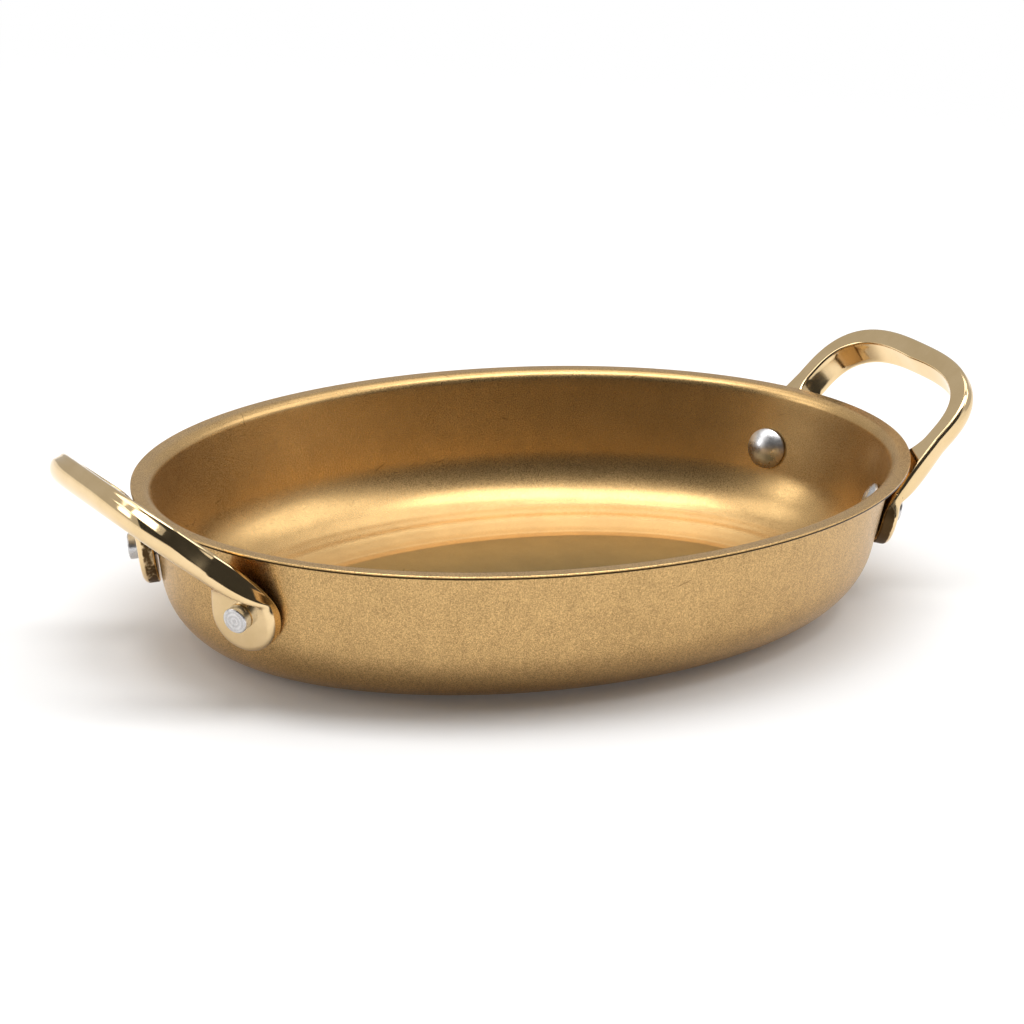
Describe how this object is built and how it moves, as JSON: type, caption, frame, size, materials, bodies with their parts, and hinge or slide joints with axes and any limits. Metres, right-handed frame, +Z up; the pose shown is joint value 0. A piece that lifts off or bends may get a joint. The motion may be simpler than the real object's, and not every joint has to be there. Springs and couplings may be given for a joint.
{
  "type": "oval serving pan",
  "caption": "Shallow oval serving pan with an out-turned lip, a rounded base and a riveted cast loop handle at each end, in a satin gold finish.",
  "frame": {"origin": "centre of the base's underside", "axes": "+X along the pan from handle to handle, +Y across it, +Z up out of the pan"},
  "size_m": [0.2132, 0.132, 0.0484],
  "materials": {
    "pan_gold": "satin tumbled gold",
    "handle_brass": "polished casting",
    "rivet_steel": "plain bright steel"
  },
  "bodies": {
    "root": {"pan_body": "pan_gold", "right_handle": "handle_brass", "left_handle": "handle_brass", "rivet_right_back": "rivet_steel", "rivet_right_front": "rivet_steel", "rivet_left_back": "rivet_steel", "rivet_left_front": "rivet_steel"}
  },
  "joints": []
}
